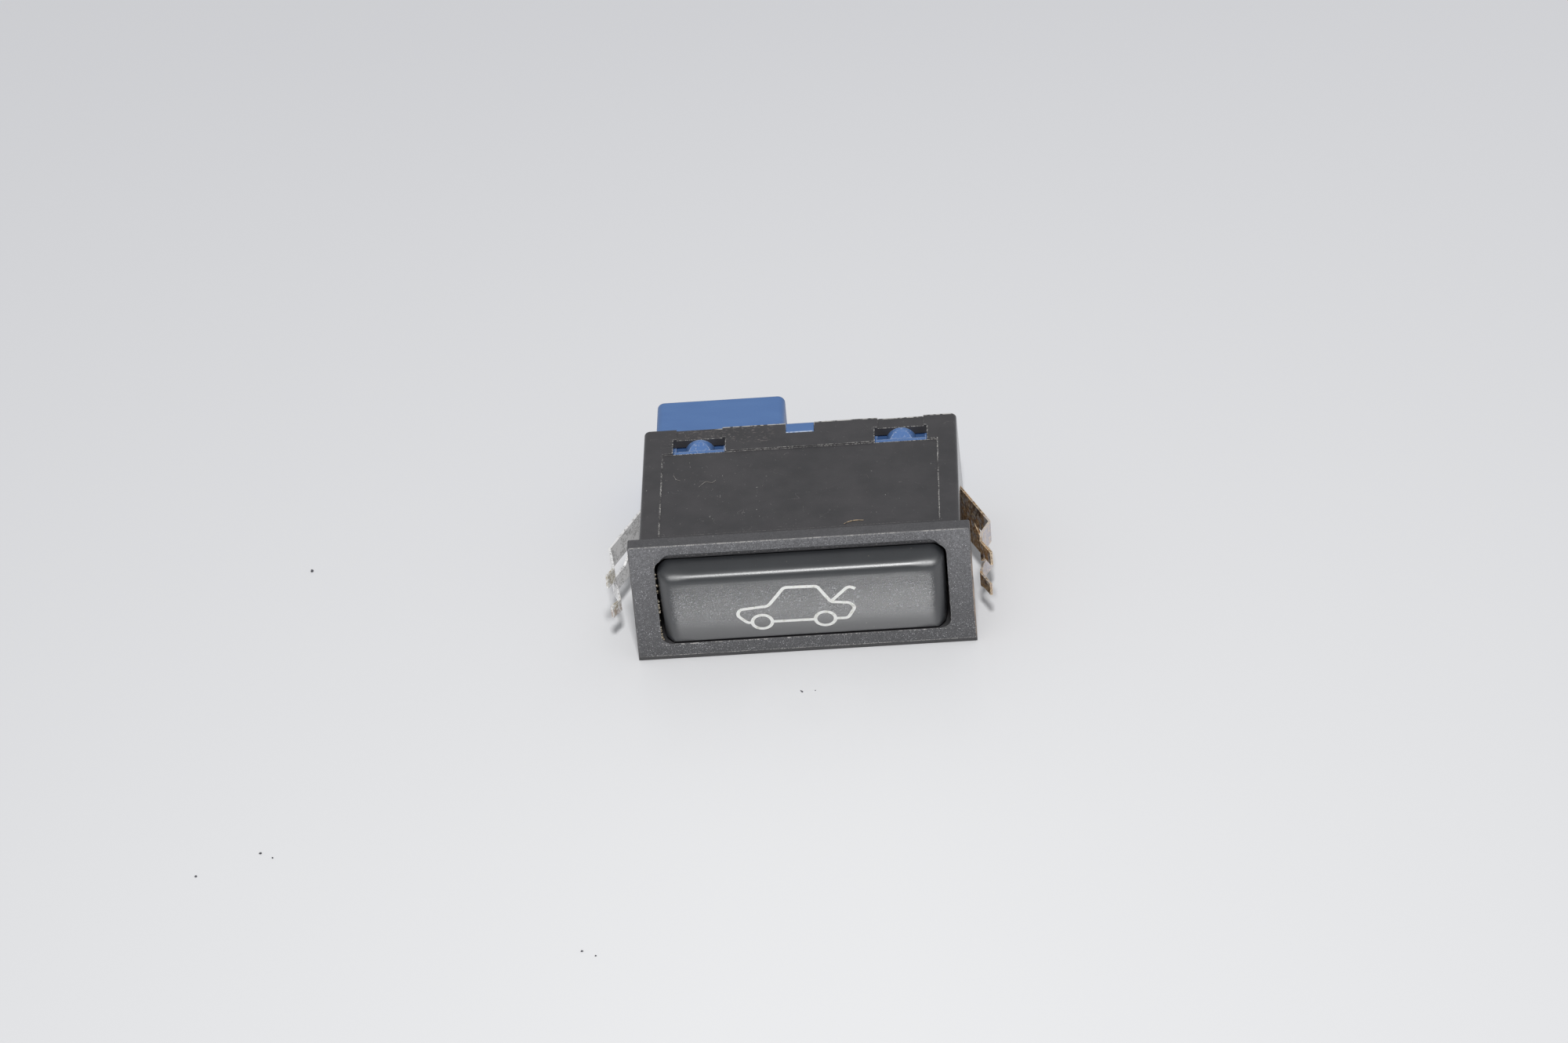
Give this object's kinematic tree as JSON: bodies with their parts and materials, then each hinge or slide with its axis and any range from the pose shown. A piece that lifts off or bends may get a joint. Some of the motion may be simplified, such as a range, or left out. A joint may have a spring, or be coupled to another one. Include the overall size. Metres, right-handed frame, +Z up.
{
  "type": "tailgate push switch",
  "caption": "Panel-mounted push switch for a vehicle tailgate: black snap-in housing with bezel and side spring clips, wide lit button with a pictogram, and a rear connector shroud.",
  "frame": {"origin": "middle of the bezel's back face, the face that stops on the panel", "axes": "+X along the length of the button, +Y rearwards along the button's travel and out of the connector, +Z up, with the button on the -Y side"},
  "size_m": [0.0501, 0.0426, 0.0178],
  "materials": {
    "housing": "black moulded nylon, spark-eroded grain on the bezel",
    "button_cap": "black soft-sheen moulding with a fine grain",
    "plunger": "natural white acetal",
    "light_guide": "clear polished acrylic",
    "spring_wire": "bright drawn wire",
    "contact_copper": "stamped copper alloy",
    "contact_silver": "silver contact rivets",
    "contact_carrier": "blue moulded PBT",
    "terminal_brass": "stamped brass, tin plated",
    "board_laminate": "bare laminate board",
    "lamp_resin": "cast epoxy lens",
    "tinned_wire": "tinned copper wire",
    "resistor_enamel": "enamelled body",
    "clip_right_steel": "spring strip, brown with rust",
    "clip_left_steel": "spring strip, yellow passivated, rust at the lower tab"
  },
  "bodies": {
    "housing": {"housing": "housing", "contact_carrier": "contact_carrier", "terminal_common": "terminal_brass", "terminal_switched": "terminal_brass", "terminal_lamp_feed": "terminal_brass", "terminal_lamp_ground": "terminal_brass", "fixed_tips": "contact_silver", "lamp_board": "board_laminate", "lamp_body": "lamp_resin", "lamp_leads": "tinned_wire", "resistor_body": "resistor_enamel", "resistor_leads": "tinned_wire", "return_spring_right": "spring_wire", "return_spring_left": "spring_wire"},
    "button": {"button_cap": "button_cap", "plunger": "plunger", "light_guide": "light_guide", "contact_spring": "spring_wire"},
    "bridge": {"contact_bridge": "contact_copper", "bridge_tips": "contact_silver"},
    "clip_right": {"clip_right": "clip_right_steel"},
    "clip_left": {"clip_left": "clip_left_steel"}
  },
  "joints": [
    {"name": "button_travel", "type": "slide", "parent": "housing", "child": "button", "axis": [0, 1, 0], "range_m": [0, 0.0024], "stiffness_N_per_m": 800, "springref_m": -0.0025, "deforming": ["return_spring_right", "return_spring_left"]},
    {"name": "bridge_float", "type": "slide", "parent": "button", "child": "bridge", "axis": [0, -1, 0], "range_m": [0, 0.0005], "stiffness_N_per_m": 300, "springref_m": -0.002, "deforming": ["contact_spring"]},
    {"name": "clip_right_flex", "type": "hinge", "parent": "housing", "child": "clip_right", "pos_m": [0.01975, 0.01875, 0], "axis": [0, 0, -1], "range_deg": [0, 7], "stiffness_Nm_per_rad": 0.4},
    {"name": "clip_left_flex", "type": "hinge", "parent": "housing", "child": "clip_left", "pos_m": [-0.01975, 0.01875, 0], "axis": [0, 0, 1], "range_deg": [0, 8], "stiffness_Nm_per_rad": 0.4}
  ]
}
